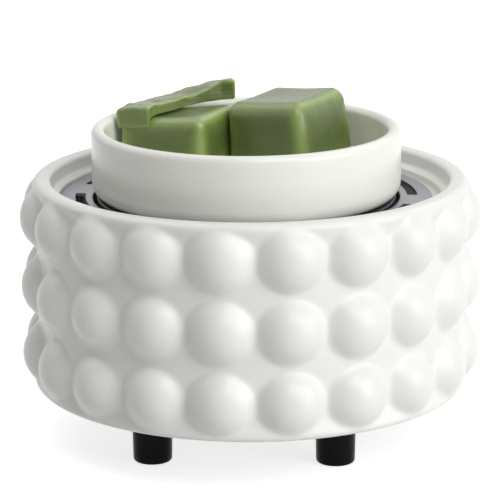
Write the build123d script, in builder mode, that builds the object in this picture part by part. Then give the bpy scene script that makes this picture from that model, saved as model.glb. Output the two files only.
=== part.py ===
from build123d import *
import math
import os

# Electric wax melt warmer. All sizes are in millimetres and all turns in degrees.
# The table is at height zero, the front is -Y and the cord inlet is at the back.

# Ceramic shell
shell_radius = 70.7
shell_height = 67.5
shell_wall = 8.2
lip_width = 6.2
lip_outer_round = 2.6
lip_inner_round = 1.5
shell_foot_round = 2.5
dome_rows = 3
dome_columns = 20
dome_width = 18.8
dome_reach = 4.3
dome_turn = 10.3

# Well in the top of the shell, where the plate lies on a ledge
well_depth = 6.6
well_step = 1.0
well_step_round = 0.7
well_corner_round = 1.4
ledge_thickness = 4.5
ledge_reach = 5.1
ledge_corner_round = 2.0

# The heater unit stands a little off the shell's axis, and its feet a little turned
heater_shift = -1.2
foot_turn = -2.0

# Top plate
plate_inset = 10.5
plate_thickness = 1.0
plate_edge_round = 0.45
plate_gap = 0.5
gasket_thickness = 0.8
gasket_width = 1.8
gasket_inset = 0.2
collar_wall = 1.0
ring_gap = 1.2
vent_count = 6
vent_margin = 1.4
vent_width = 3.4
vent_sweep = 46.0
vent_turn = 21.0
vent_corner_round = 0.6

# Hot plate and the stack under it
hot_inset = 11.7
hot_thickness = 2.0
hot_rise = 0.3
hot_edge_round = 0.6
skirt_wall = 1.2
stack_gap = 0.8
mica_thickness = 0.4
pad_thickness = 3.9
ribbon_thickness = 0.5
ribbon_width = 3.0
ribbon_inner_radius = 10.0
ribbon_margin = 4.5
ribbon_rings = 5
ribbon_end_gap = 16.0
tab_thickness = 0.5
tab_hole_radius = 2.4
carrier_thickness = 1.0
carrier_margin = 0.8
ear_radius = 3.5
centre_stud_radius = 2.5
centre_stud_length = 12.7
centre_washer_radius = 6.0
centre_washer_thickness = 0.8
centre_nut_flats = 8.0
centre_nut_height = 4.0

# Posts that tie the top plate to the base pan
post_offset = 1.8
post_count = 3
post_turn = 51.0
post_flats = 6.5
post_stud_radius = 2.0
upper_post_length = 14.0
plate_stud_grip = 6.0
post_stud_length = 6.0
screw_grip = 8.0
thread_gap = 0.1
thread_depth_gap = 1.0
hole_gap = 0.2

# Heat shield
shield_margin = 3.2
shield_thickness = 0.6
shield_opening_length = 18.0
shield_tab_margin = 4.0
shield_lead_margin = 2.6

# Base pan
pan_lap = 2.3
pan_thickness = 2.5
pan_recess = 0.5
pan_gap = 0.4
cushion_thickness = 1.0
cushion_inset = 0.4
rim_clearance = 2.0
rim_thickness = 2.0
rim_height = 4.0
post_boss_radius = 6.0
post_boss_height = 4.0
base_screw_head_radius = 3.5
base_screw_head_height = 2.2
head_gap = 0.4
pan_vent_count = 12
pan_vent_margin = 1.5
pan_vent_length = 14.0
pan_vent_width = 3.2

# Feet
foot_height = 20.5
foot_top_radius = 6.6
foot_bottom_radius = 6.25
foot_edge_round = 0.9
foot_inset = 19.0
foot_count = 4
foot_bore_radius = 3.6
foot_bore_depth = 12.0
foot_screw_radius = 1.9
foot_screw_head_radius = 3.2
foot_screw_head_height = 2.4
foot_screw_grip = 8.0
foot_boss_radius = 5.0
foot_boss_height = 8.0

# Cord inlet in the back of the pan and the notch behind it
inlet_height = 31.0
inlet_wall_inset = 1.5
inlet_wall_thickness = 2.0
inlet_wall_width = 18.0
inlet_wall_top = 9.0
grommet_bore_radius = 3.2
grommet_neck_radius = 5.0
grommet_neck_gap = 0.1
grommet_flange_radius = 6.8
grommet_flange_thickness = 1.6
notch_radius = 6.5

# Terminal block
block_inset = 16.5
block_width = 24.0
block_depth = 13.0
block_height = 12.0
block_pad_height = 4.0
block_wire_radius = 1.7
block_wire_spacing = 12.0
block_wire_height = 5.0
wire_seat = 4.0
block_screw_radius = 1.5
block_screw_head_radius = 2.8
block_screw_head_height = 1.8
block_screw_grip = 5.0
terminal_screw_radius = 1.4
terminal_screw_spacing = 7.0
terminal_screw_sink = 0.6
terminal_screw_slot = 0.5

# Thermal fuse under the carrier
fuse_radius = 1.9
fuse_length = 11.0
fuse_pin_radius = 0.5
fuse_pin_length = 4.5
fuse_place = -24.0
sleeve_gap = 0.2
sleeve_wall = 0.5
sleeve_length = 16.0
clip_gap = 0.1
clip_thickness = 0.8
clip_width = 6.0
clip_ear = 5.8
clip_screw_radius = 1.2
clip_screw_head_radius = 2.1
clip_screw_head_height = 1.3

# Wires inside the housing
wire_radius = 0.8
wire_drop_height = 65.6
wire_drop_run = 3.5
fuse_wire_run = 5.5
bend_share = 0.45
wire_way_shares = ((0.0, 0.0, 0.39), (0.2, 0.145, 0.725), (0.6, 0.457, 0.945), (1.0, 0.81, 1.0))

# Wax dish
dish_overhang = 1.5
dish_height = 22.5
dish_wall = 4.5
dish_floor = 4.8
dish_lip_round = 2.1
dish_foot_round = 5.0
dish_corner_round = 5.0

# Wax pieces, placed as they lie in the dish
wax_gap = 0.12
wax_clearance = 5.5
wax_corner_round = 3.0
wax_edge_round = 1.3
right_block_width_share = 0.75
right_block_depth_share = 0.765
right_block_height = 22.0
right_block_draft = 5.4
right_block_x_share = 0.3475
right_block_y_share = 0.425
right_block_turn = -31.0
right_block_tip = -4.6
left_block_width_share = 0.74
left_block_depth_share = 0.5
left_block_draft = 4.0
left_block_x_share = -0.61
left_block_y_share = 0.3475
left_block_turn = -28.0
left_top_height = 18.2
left_top_slope = 9.0
slab_x_share = -0.6
slab_y_share = 0.45
slab_length_share = 0.94
slab_depth_share = 0.7425
slab_outline_shares = ((-0.22, -0.44), (0.52, 0.07), (0.31, 0.56), (-0.33, 0.12), (-0.48, -0.18))
slab_thickness = 6.0
slab_top_slope = 17.6
slab_edge_round = 0.7

# One overrun serves every cut
overrun = 5.0

# Heights and radii that follow from the sizes above
shell_bottom = foot_height - pan_recess
shell_top = shell_bottom + shell_height
shell_inner_radius = shell_radius - shell_wall
well_radius = shell_radius - lip_width
plate_top = shell_top - well_depth
plate_bottom = plate_top - plate_thickness
ledge_top = plate_bottom - gasket_thickness
ledge_bottom = ledge_top - ledge_thickness
plate_radius = shell_radius - plate_inset
recess_radius = plate_radius + abs(heater_shift) + plate_gap
ledge_radius = recess_radius - ledge_reach
step_top = plate_top + well_step

hot_radius = plate_radius - hot_inset
collar_inner_radius = hot_radius + ring_gap
collar_outer_radius = collar_inner_radius + collar_wall
vent_inner_radius = collar_outer_radius + vent_margin
hot_top = plate_top + hot_rise
hot_bottom = hot_top - hot_thickness
stack_radius = hot_radius - skirt_wall - stack_gap
ribbon_outer_radius = stack_radius - ribbon_margin
ribbon_pitch = (ribbon_outer_radius - ribbon_inner_radius) / (ribbon_rings - 1)
mica_upper_bottom = hot_bottom - mica_thickness
ribbon_bottom = mica_upper_bottom - ribbon_thickness
mica_lower_bottom = ribbon_bottom - mica_thickness
carrier_top = mica_lower_bottom - pad_thickness
carrier_bottom = carrier_top - carrier_thickness
carrier_radius = collar_outer_radius + carrier_margin
post_circle = carrier_radius + post_offset
shield_radius = post_circle + shield_margin
stud_hole_radius = centre_stud_radius + hole_gap
post_hole_radius = post_stud_radius + hole_gap
thread_radius = post_stud_radius + thread_gap
upper_post_bottom = carrier_bottom - upper_post_length
shield_bottom = upper_post_bottom - shield_thickness

rim_radius = shell_inner_radius - rim_clearance
pan_radius = shell_inner_radius + pan_lap
foot_circle = rim_radius - foot_inset
pan_vent_radius = foot_circle - foot_boss_radius - pan_vent_margin - pan_vent_length / 2
inlet_wall_back = rim_radius - inlet_wall_inset
block_place = rim_radius - block_inset
pan_bottom = foot_height
pan_top = pan_bottom + pan_thickness
rabbet_top = pan_top + cushion_thickness
rabbet_radius = pan_radius + abs(heater_shift) + pan_gap
lower_post_bottom = pan_top + post_boss_height
block_bottom = pan_top + block_pad_height
block_top = block_bottom + block_height
wire_height = block_bottom + block_wire_height
block_front = block_place - block_depth / 2

sleeve_inner_radius = fuse_radius + sleeve_gap
sleeve_radius = sleeve_inner_radius + sleeve_wall
fuse_height = carrier_bottom - clip_gap - sleeve_radius
fuse_pin_end = fuse_length / 2 + fuse_pin_length
dish_radius = hot_radius + dish_overhang
dish_bottom = hot_top
wax_floor = dish_bottom + dish_floor
wax_reach = dish_radius - dish_wall - wax_clearance
right_block_width = wax_reach * right_block_width_share
right_block_depth = wax_reach * right_block_depth_share
right_block_x = wax_reach * right_block_x_share
right_block_y = wax_reach * right_block_y_share
left_block_width = wax_reach * left_block_width_share
left_block_depth = wax_reach * left_block_depth_share
left_block_x = wax_reach * left_block_x_share
left_block_y = wax_reach * left_block_y_share
slab_x = wax_reach * slab_x_share
slab_y = wax_reach * slab_y_share
slab_length = wax_reach * slab_length_share
slab_depth = wax_reach * slab_depth_share

heater_axis = Axis((heater_shift, 0, 0), (0, 0, 1))
heater_side = Plane(origin=(heater_shift, 0, 0), x_dir=(1, 0, 0), z_dir=(0, -1, 0))

os.makedirs("parts", exist_ok=True)


def deck(height):
    """A level plane whose origin is on the heater's axis."""
    return Plane(origin=(heater_shift, 0, height))


def polar(radius, degrees):
    """A point on a circle about the heater's axis."""
    turn = math.radians(degrees)
    return (radius * math.cos(turn), radius * math.sin(turn))


def keep(piece, name):
    """Labels a finished piece and writes it to its own file."""
    piece.label = name
    export_step(piece, f"parts/{name}.step")


def nearest(sketch, x, y):
    """The corner of a section that lies nearest to a point."""
    return sketch.vertices().sort_by_distance(Vector(x, y))[0]


post_spots = PolarLocations(post_circle, post_count, start_angle=post_turn)
foot_spots = PolarLocations(foot_circle, foot_count, start_angle=45 + foot_turn)
ribbon_start = 270 + ribbon_end_gap / 2
ribbon_sweep = 360 - ribbon_end_gap
inner_tab = polar(ribbon_inner_radius, ribbon_start)
outer_tab = polar(ribbon_outer_radius, ribbon_start + ribbon_sweep)
tab_bottom = fuse_height - fuse_radius
fuse_drop = fuse_place - fuse_pin_end - fuse_wire_run - wire_drop_run
opening_back = max(outer_tab[1], fuse_drop) + shield_tab_margin
opening_front = min(outer_tab[1], fuse_drop) - shield_lead_margin


# Ceramic shell: a drum with domes, hollowed by one turned section
dome_radius = (dome_width ** 2 / 4 + dome_reach ** 2) / (2 * dome_reach)
dome_pitch = shell_height / dome_rows
with BuildSketch(Plane.XZ) as hollow:
    with BuildLine():
        Polyline(
            (0, shell_bottom - overrun),
            (shell_radius, shell_bottom - overrun),
            (shell_radius, shell_bottom),
            (rabbet_radius, shell_bottom),
            (rabbet_radius, rabbet_top),
            (shell_inner_radius, rabbet_top),
            (shell_inner_radius, ledge_bottom),
            (ledge_radius, ledge_bottom),
            (ledge_radius, ledge_top),
            (recess_radius, ledge_top),
            (recess_radius, step_top),
            (well_radius, step_top),
            (well_radius, shell_top),
            (shell_radius, shell_top),
            (shell_radius, shell_top + overrun),
            (0, shell_top + overrun),
            close=True,
        )
    make_face()
    fillet(nearest(hollow, well_radius, shell_top), lip_inner_round)
    fillet(nearest(hollow, shell_inner_radius, ledge_bottom), ledge_corner_round)
    fillet(nearest(hollow, recess_radius, step_top), well_step_round)
    fillet(nearest(hollow, well_radius, step_top), well_corner_round)

dome_centre = shell_radius + dome_reach - dome_radius
with BuildPart() as ceramic_shell:
    with BuildSketch(Plane.XY.offset(shell_bottom)):
        Circle(shell_radius)
    extrude(amount=shell_height)
    fillet(ceramic_shell.edges().group_by(Axis.Z)[-1], lip_outer_round)
    fillet(ceramic_shell.edges().group_by(Axis.Z)[0], shell_foot_round)
    for row in range(dome_rows):
        with Locations(Plane.XY.offset(shell_bottom + dome_pitch * (row + 0.5))):
            with PolarLocations(dome_centre, dome_columns, start_angle=dome_turn):
                Sphere(dome_radius)
    add(revolve(hollow.sketch, axis=Axis.Z, mode=Mode.PRIVATE), mode=Mode.SUBTRACT)
    with BuildSketch(Plane.XZ.offset(-inlet_wall_back)):
        with Locations((0, inlet_height)):
            Circle(notch_radius)
            Rectangle(2 * notch_radius, inlet_height, align=(Align.CENTER, Align.MAX))
    extrude(amount=-(shell_radius + dome_reach + overrun - inlet_wall_back), mode=Mode.SUBTRACT)
keep(ceramic_shell.part, "ceramic_shell")


# Soft rings between the heater unit and the ceramic
with BuildPart() as plate_gasket:
    with BuildSketch(deck(ledge_top)):
        Circle(plate_radius - gasket_inset)
        Circle(plate_radius - gasket_inset - gasket_width, mode=Mode.SUBTRACT)
    extrude(amount=gasket_thickness)
keep(plate_gasket.part, "plate_gasket")

with BuildPart() as shell_cushion:
    with BuildSketch(Plane.XY.offset(pan_top)):
        Circle(rabbet_radius - cushion_inset)
        Circle(shell_inner_radius + cushion_inset, mode=Mode.SUBTRACT)
    extrude(amount=cushion_thickness)
    with BuildSketch(Plane.XZ.offset(-inlet_wall_back)):
        with Locations((0, inlet_height)):
            Rectangle(2 * notch_radius, inlet_height, align=(Align.CENTER, Align.MAX))
    extrude(amount=-(shell_radius + overrun - inlet_wall_back), mode=Mode.SUBTRACT)
keep(shell_cushion.part, "shell_cushion")


# Top plate: a disc with curved vents, with a collar ring and three studs welded under it
with BuildSketch() as vent:
    with BuildLine():
        vent_start = -vent_sweep / 2
        outer = CenterArc((0, 0), vent_inner_radius + vent_width, vent_start, vent_sweep)
        inner = CenterArc((0, 0), vent_inner_radius, vent_start, vent_sweep)
        Line(outer @ 0, inner @ 0)
        Line(outer @ 1, inner @ 1)
    make_face()
    fillet(vent.vertices(), vent_corner_round)

with BuildPart() as top_plate:
    with BuildSketch(deck(plate_bottom)):
        Circle(plate_radius)
        Circle(collar_inner_radius, mode=Mode.SUBTRACT)
    extrude(amount=plate_thickness)
    fillet(top_plate.edges().group_by(Axis.Z)[-1], plate_edge_round)
    with BuildSketch(deck(plate_bottom)):
        with PolarLocations(0, vent_count, start_angle=vent_turn):
            add(vent.sketch)
    extrude(amount=plate_thickness, mode=Mode.SUBTRACT)
keep(top_plate.part, "top_plate")

with BuildPart() as plate_collar:
    with BuildSketch(deck(carrier_top)):
        Circle(collar_outer_radius)
        Circle(collar_inner_radius, mode=Mode.SUBTRACT)
    extrude(amount=plate_bottom - carrier_top)
keep(plate_collar.part, "plate_collar")

with BuildPart() as plate_studs:
    with BuildSketch(deck(carrier_bottom - plate_stud_grip)):
        with post_spots:
            Circle(post_stud_radius)
    extrude(amount=plate_bottom - carrier_bottom + plate_stud_grip)
keep(plate_studs.part, "plate_studs")


# Hot plate: a disc with a skirt that stands on the carrier, and a centre stud
with BuildSketch(heater_side) as hot_section:
    with BuildLine():
        Polyline(
            (0, hot_bottom - centre_stud_length),
            (centre_stud_radius, hot_bottom - centre_stud_length),
            (centre_stud_radius, hot_bottom),
            (hot_radius - skirt_wall, hot_bottom),
            (hot_radius - skirt_wall, carrier_top),
            (hot_radius, carrier_top),
            (hot_radius, hot_top),
            (0, hot_top),
            close=True,
        )
    make_face()
    fillet(nearest(hot_section, hot_radius, hot_top), hot_edge_round)
with BuildPart() as hot_plate:
    add(hot_section.sketch)
    revolve(axis=heater_axis)
keep(hot_plate.part, "hot_plate")


# Heater stack: mica, resistance ribbon, mica and a fibre pad
with BuildPart() as mica_upper:
    with BuildSketch(deck(mica_upper_bottom)):
        Circle(stack_radius)
        Circle(stud_hole_radius, mode=Mode.SUBTRACT)
    extrude(amount=mica_thickness)
keep(mica_upper.part, "mica_upper")

with BuildPart() as heating_ribbon:
    with BuildSketch(deck(ribbon_bottom)):
        with BuildLine():
            for turn in range(ribbon_rings):
                radius = ribbon_inner_radius + ribbon_pitch * turn
                CenterArc((0, 0), radius, ribbon_start, ribbon_sweep)
                link = ribbon_start if turn % 2 else ribbon_start + ribbon_sweep
                if turn < ribbon_rings - 1:
                    Line(polar(radius, link), polar(radius + ribbon_pitch, link))
        trace(line_width=ribbon_width)
    extrude(amount=ribbon_thickness)
    with BuildSketch(deck(tab_bottom)):
        with Locations(inner_tab, outer_tab):
            Rectangle(ribbon_width, tab_thickness)
    extrude(amount=mica_upper_bottom - tab_bottom)
keep(heating_ribbon.part, "heating_ribbon")

for name, low, high in (
    ("mica_lower", mica_lower_bottom, ribbon_bottom),
    ("insulation_pad", carrier_top, mica_lower_bottom),
):
    with BuildPart() as layer:
        with BuildSketch(deck(low)):
            Circle(stack_radius)
            Circle(stud_hole_radius, mode=Mode.SUBTRACT)
            with Locations(inner_tab, outer_tab):
                Circle(tab_hole_radius, mode=Mode.SUBTRACT)
        extrude(amount=high - low)
    keep(layer.part, name)


# Carrier disc with three ears, held between the posts and the top plate's collar
clip_inner = sleeve_radius + clip_gap
clip_outer = clip_inner + clip_thickness
clip_screw_offset = clip_outer + clip_screw_head_radius + head_gap
clip_spots = Locations(
    (inner_tab[0] - clip_screw_offset, fuse_place),
    (inner_tab[0] + clip_screw_offset, fuse_place),
)
with BuildPart() as heater_carrier:
    with BuildSketch(deck(carrier_bottom)):
        Circle(carrier_radius)
        with post_spots:
            Circle(ear_radius)
            Circle(post_hole_radius, mode=Mode.SUBTRACT)
        Circle(stud_hole_radius, mode=Mode.SUBTRACT)
        with Locations(inner_tab, outer_tab):
            Circle(tab_hole_radius, mode=Mode.SUBTRACT)
        with clip_spots:
            Circle(clip_screw_radius + thread_gap, mode=Mode.SUBTRACT)
    extrude(amount=carrier_thickness)
keep(heater_carrier.part, "heater_carrier")

with BuildPart() as heater_washer:
    with BuildSketch(deck(carrier_bottom - centre_washer_thickness)):
        Circle(centre_washer_radius)
        Circle(stud_hole_radius, mode=Mode.SUBTRACT)
    extrude(amount=centre_washer_thickness)
keep(heater_washer.part, "heater_washer")

with BuildPart() as heater_nut:
    with BuildSketch(deck(carrier_bottom - centre_washer_thickness - centre_nut_height)):
        RegularPolygon(centre_nut_flats / 2, 6, major_radius=False)
        Circle(centre_stud_radius + thread_gap, mode=Mode.SUBTRACT)
    extrude(amount=centre_nut_height)
keep(heater_nut.part, "heater_nut")


# Upper and lower posts, with the heat shield clamped between them
with BuildPart() as upper_posts:
    with BuildSketch(deck(upper_post_bottom)):
        with post_spots:
            RegularPolygon(post_flats / 2, 6, major_radius=False)
    extrude(amount=upper_post_length)
    with BuildSketch(deck(carrier_bottom - plate_stud_grip - thread_depth_gap)):
        with post_spots:
            Circle(thread_radius)
    extrude(amount=plate_stud_grip + thread_depth_gap, mode=Mode.SUBTRACT)
    with BuildSketch(deck(shield_bottom - post_stud_length)):
        with post_spots:
            Circle(post_stud_radius)
    extrude(amount=post_stud_length + shield_thickness)
keep(upper_posts.part, "upper_posts")

with BuildPart() as heat_shield:
    with BuildSketch(deck(shield_bottom)):
        Circle(shield_radius)
        with post_spots:
            Circle(post_hole_radius, mode=Mode.SUBTRACT)
        with Locations(((inner_tab[0] + outer_tab[0]) / 2, (opening_back + opening_front) / 2)):
            SlotOverall(shield_opening_length, opening_back - opening_front, mode=Mode.SUBTRACT)
    extrude(amount=shield_thickness)
keep(heat_shield.part, "heat_shield")

with BuildPart() as lower_posts:
    with BuildSketch(deck(lower_post_bottom)):
        with post_spots:
            RegularPolygon(post_flats / 2, 6, major_radius=False)
    extrude(amount=shield_bottom - lower_post_bottom)
    for low, depth in (
        (lower_post_bottom, screw_grip + thread_depth_gap),
        (shield_bottom - post_stud_length - thread_depth_gap, post_stud_length + thread_depth_gap),
    ):
        with BuildSketch(deck(low)):
            with post_spots:
                Circle(thread_radius)
        extrude(amount=depth, mode=Mode.SUBTRACT)
keep(lower_posts.part, "lower_posts")

# Screws up through the base pan into the lower posts
base_screw_shoulder = pan_bottom + head_gap / 2 + base_screw_head_height
with BuildPart() as base_screws:
    with BuildSketch(deck(base_screw_shoulder - base_screw_head_height)):
        with post_spots:
            Circle(base_screw_head_radius)
    extrude(amount=base_screw_head_height)
    with BuildSketch(deck(base_screw_shoulder)):
        with post_spots:
            Circle(post_stud_radius)
    extrude(amount=lower_post_bottom + screw_grip - base_screw_shoulder)
keep(base_screws.part, "base_screws")


# Base pan: a vented disc with a rim, bosses, the terminal block's pad and the inlet wall
inlet_wall_front = inlet_wall_back - inlet_wall_thickness
with BuildPart() as base_pan:
    with BuildSketch(deck(pan_bottom)):
        Circle(pan_radius)
    extrude(amount=pan_thickness)
    with BuildSketch(deck(pan_top)):
        Circle(rim_radius)
        Circle(rim_radius - rim_thickness, mode=Mode.SUBTRACT)
    extrude(amount=rim_height)
    with BuildSketch(Plane.XY.offset(pan_top)):
        with Locations((0, inlet_wall_back)):
            Rectangle(inlet_wall_width, rim_radius, align=(Align.CENTER, Align.MIN))
    extrude(amount=rim_height, mode=Mode.SUBTRACT)
    with BuildSketch(Plane.XY.offset(pan_top)):
        with Locations((0, inlet_wall_front)):
            Rectangle(inlet_wall_width, inlet_wall_thickness, align=(Align.CENTER, Align.MIN))
    extrude(amount=inlet_height - pan_top + inlet_wall_top)
    with BuildSketch(deck(pan_top)):
        with post_spots:
            Circle(post_boss_radius)
    extrude(amount=post_boss_height)
    with BuildSketch(deck(pan_top)):
        with foot_spots:
            Circle(foot_boss_radius)
    extrude(amount=foot_boss_height)
    with BuildSketch(deck(pan_top)):
        with Locations((0, block_place)):
            Rectangle(block_width, block_depth)
    extrude(amount=block_pad_height)
    with BuildSketch(deck(pan_bottom)):
        with post_spots:
            Circle(base_screw_head_radius + head_gap)
    extrude(amount=base_screw_shoulder - pan_bottom, mode=Mode.SUBTRACT)
    with BuildSketch(deck(pan_bottom)):
        with post_spots:
            Circle(post_hole_radius)
    extrude(amount=lower_post_bottom - pan_bottom, mode=Mode.SUBTRACT)
    with BuildSketch(deck(pan_bottom)):
        with foot_spots:
            Circle(foot_screw_radius + thread_gap)
    extrude(amount=foot_screw_grip + thread_depth_gap, mode=Mode.SUBTRACT)
    with BuildSketch(deck(pan_bottom)):
        with PolarLocations(pan_vent_radius, pan_vent_count):
            SlotOverall(pan_vent_length, pan_vent_width)
    extrude(amount=pan_thickness, mode=Mode.SUBTRACT)
    with BuildSketch(deck(block_bottom - block_screw_grip - thread_depth_gap / 2)):
        with Locations((0, block_place)):
            Circle(block_screw_radius + thread_gap)
    extrude(amount=block_screw_grip + thread_depth_gap / 2, mode=Mode.SUBTRACT)
    with BuildSketch(Plane.XZ.offset(-inlet_wall_front)):
        with Locations((0, inlet_height)):
            Circle(grommet_neck_radius + grommet_neck_gap)
    extrude(amount=-inlet_wall_thickness, mode=Mode.SUBTRACT)
keep(base_pan.part, "base_pan")

# Rubber grommet that the cord would pass through
with BuildPart() as cord_grommet:
    for front, thickness, radius in (
        (inlet_wall_front - grommet_flange_thickness, grommet_flange_thickness, grommet_flange_radius),
        (inlet_wall_front, inlet_wall_thickness, grommet_neck_radius),
        (inlet_wall_back, grommet_flange_thickness, grommet_flange_radius),
    ):
        with BuildSketch(Plane.XZ.offset(-front)):
            with Locations((0, inlet_height)):
                Circle(radius)
                Circle(grommet_bore_radius, mode=Mode.SUBTRACT)
        extrude(amount=-thickness)
keep(cord_grommet.part, "cord_grommet")


# Four feet, each held by a screw up through its bore
with BuildSketch(Plane.XZ) as foot_section:
    with BuildLine():
        Polyline(
            (foot_bore_radius, 0),
            (foot_bottom_radius, 0),
            (foot_top_radius, foot_height),
            (foot_screw_radius + hole_gap, foot_height),
            (foot_screw_radius + hole_gap, foot_bore_depth),
            (foot_bore_radius, foot_bore_depth),
            close=True,
        )
    make_face()
    fillet(nearest(foot_section, foot_bottom_radius, 0), foot_edge_round)
with BuildPart() as foot:
    add(foot_section.sketch)
    revolve(axis=Axis.Z)
foot_names = ("foot_rear_right", "foot_rear_left", "foot_front_left", "foot_front_right")
for spot, name in zip(foot_spots.locations, foot_names):
    keep(foot.part.moved(deck(0).location * spot), name)

with BuildPart() as foot_screws:
    with BuildSketch(deck(foot_bore_depth - foot_screw_head_height)):
        with foot_spots:
            Circle(foot_screw_head_radius)
    extrude(amount=foot_screw_head_height)
    with BuildSketch(deck(foot_bore_depth)):
        with foot_spots:
            Circle(foot_screw_radius)
    extrude(amount=pan_bottom + foot_screw_grip - foot_bore_depth)
keep(foot_screws.part, "foot_screws")


# Porcelain terminal block with two wire bores, its grub screws and its fixing screw
wire_spots = [(side * block_wire_spacing / 2, wire_height) for side in (-1, 1)]
grub_spots = [
    (x * block_wire_spacing / 2, block_place + y * terminal_screw_spacing / 2)
    for x in (-1, 1)
    for y in (-1, 1)
]
with BuildPart() as terminal_block:
    with BuildSketch(deck(block_bottom)):
        with Locations((0, block_place)):
            Rectangle(block_width, block_depth)
            Circle(block_screw_radius + hole_gap, mode=Mode.SUBTRACT)
    extrude(amount=block_height)
    with BuildSketch(heater_side.offset(-block_front)):
        with Locations(*wire_spots):
            Circle(block_wire_radius)
    extrude(amount=-block_depth, mode=Mode.SUBTRACT)
    with BuildSketch(deck(wire_height)):
        with Locations(*grub_spots):
            Circle(terminal_screw_radius + thread_gap)
    extrude(amount=block_top - wire_height, mode=Mode.SUBTRACT)
keep(terminal_block.part, "terminal_block")

grub_top = block_top - terminal_screw_sink
grub_bottom = wire_height + wire_radius + thread_gap
with BuildPart() as terminal_screws:
    with BuildSketch(deck(grub_bottom)):
        with Locations(*grub_spots):
            Circle(terminal_screw_radius)
    extrude(amount=grub_top - grub_bottom)
    with BuildSketch(deck(grub_top - terminal_screw_slot)):
        with Locations(*grub_spots):
            Rectangle(2 * terminal_screw_radius, terminal_screw_slot)
    extrude(amount=terminal_screw_slot, mode=Mode.SUBTRACT)
keep(terminal_screws.part, "terminal_screws")

with BuildPart() as block_screw:
    with BuildSketch(deck(block_bottom - block_screw_grip)):
        with Locations((0, block_place)):
            Circle(block_screw_radius)
    extrude(amount=block_top - block_bottom + block_screw_grip)
    with BuildSketch(deck(block_top)):
        with Locations((0, block_place)):
            Circle(block_screw_head_radius)
    extrude(amount=block_screw_head_height)
keep(block_screw.part, "block_screw")


# Thermal fuse in its sleeve, clipped under the carrier
fuse_plane = Plane(
    origin=(heater_shift + inner_tab[0], fuse_place, fuse_height), x_dir=(1, 0, 0), z_dir=(0, -1, 0)
)
with BuildPart() as thermal_fuse:
    with BuildSketch(fuse_plane):
        Circle(fuse_radius)
    extrude(amount=fuse_length / 2, both=True)
    with BuildSketch(fuse_plane):
        Circle(fuse_pin_radius)
    extrude(amount=fuse_pin_end, both=True)
keep(thermal_fuse.part, "thermal_fuse")

with BuildPart() as fuse_sleeve:
    with BuildSketch(fuse_plane):
        Circle(sleeve_radius)
        Circle(sleeve_inner_radius, mode=Mode.SUBTRACT)
    extrude(amount=sleeve_length / 2, both=True)
keep(fuse_sleeve.part, "fuse_sleeve")

clip_rise = carrier_bottom - fuse_height
with BuildPart() as fuse_clip:
    with BuildSketch(fuse_plane):
        Circle(clip_outer)
        Rectangle(2 * clip_outer, clip_rise, align=(Align.CENTER, Align.MIN))
        with Locations((0, clip_rise)):
            Rectangle(2 * (clip_inner + clip_ear), clip_thickness, align=(Align.CENTER, Align.MAX))
        Circle(clip_inner, mode=Mode.SUBTRACT)
        Rectangle(2 * clip_inner, clip_rise, align=(Align.CENTER, Align.MIN), mode=Mode.SUBTRACT)
        with Locations((0, clip_rise)):
            Rectangle(2 * clip_outer, clip_rise, align=(Align.CENTER, Align.MIN), mode=Mode.SUBTRACT)
    extrude(amount=clip_width / 2, both=True)
    with BuildSketch(deck(carrier_bottom - clip_thickness)):
        with clip_spots:
            Circle(clip_screw_radius + hole_gap)
    extrude(amount=clip_thickness, mode=Mode.SUBTRACT)
keep(fuse_clip.part, "fuse_clip")

with BuildPart() as fuse_screws:
    with BuildSketch(deck(carrier_bottom - clip_thickness - clip_screw_head_height)):
        with clip_spots:
            Circle(clip_screw_head_radius)
    extrude(amount=clip_screw_head_height)
    with BuildSketch(deck(carrier_bottom - clip_thickness)):
        with clip_spots:
            Circle(clip_screw_radius)
    extrude(amount=clip_thickness + carrier_thickness)
keep(fuse_screws.part, "fuse_screws")


# Wires: a short one from the fuse to the ribbon, and two that run down to the terminal block
def bend_radii(points):
    """One radius for each corner: a share of the shorter run beside it, over the half turn's tangent."""
    runs = [Vector(*b) - Vector(*a) for a, b in zip(points, points[1:])]
    return [
        bend_share * min(a.length, b.length) / math.tan(math.radians(a.get_angle(b) / 2))
        for a, b in zip(runs, runs[1:])
    ]


def wire(points, name):
    """A round wire along straight runs joined by arcs."""
    points = [(x + heater_shift, y, z) for x, y, z in points]
    radii = bend_radii(points)
    with BuildPart() as lead:
        with BuildLine() as route:
            if radii:
                FilletPolyline(*points, radius=radii)
            else:
                Line(*points)
        with BuildSketch(Plane(origin=route.line @ 0, z_dir=route.line % 0)):
            Circle(wire_radius)
        sweep()
    sweep_volume = math.pi * wire_radius ** 2 * sum(edge.length for edge in route.edges())
    print(name, "bends", [round(radius, 1) for radius in radii])
    print(name, "volume over section times length", round(lead.part.volume / sweep_volume, 4))
    keep(lead.part, name)


def way_to_block(start, side):
    """The points of a wire's way from where it drops to its seat in one bore of the block."""
    seat = (side * block_wire_spacing / 2, block_front + wire_seat, wire_height)
    way = [[a + (b - a) * share for a, b, share in zip(start, seat, row)] for row in wire_way_shares]
    return [start, *way, seat]


tab_x, tab_y = inner_tab
far_x, far_y = outer_tab
live_start = fuse_place + fuse_pin_end
fuse_end = fuse_place - fuse_pin_end
fuse_bend = fuse_drop + wire_drop_run
live_way = [(tab_x, live_start, fuse_height), (tab_x, tab_y - tab_thickness / 2, fuse_height)]
wire(live_way, "heater_lead_live")
wire(way_to_block((far_x, far_y, tab_bottom), -1), "heater_lead_neutral")
wire(
    [
        (tab_x, fuse_end, fuse_height),
        (tab_x, fuse_bend, fuse_height),
        *way_to_block((tab_x, fuse_drop, wire_drop_height), 1),
    ],
    "fuse_lead",
)


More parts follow.
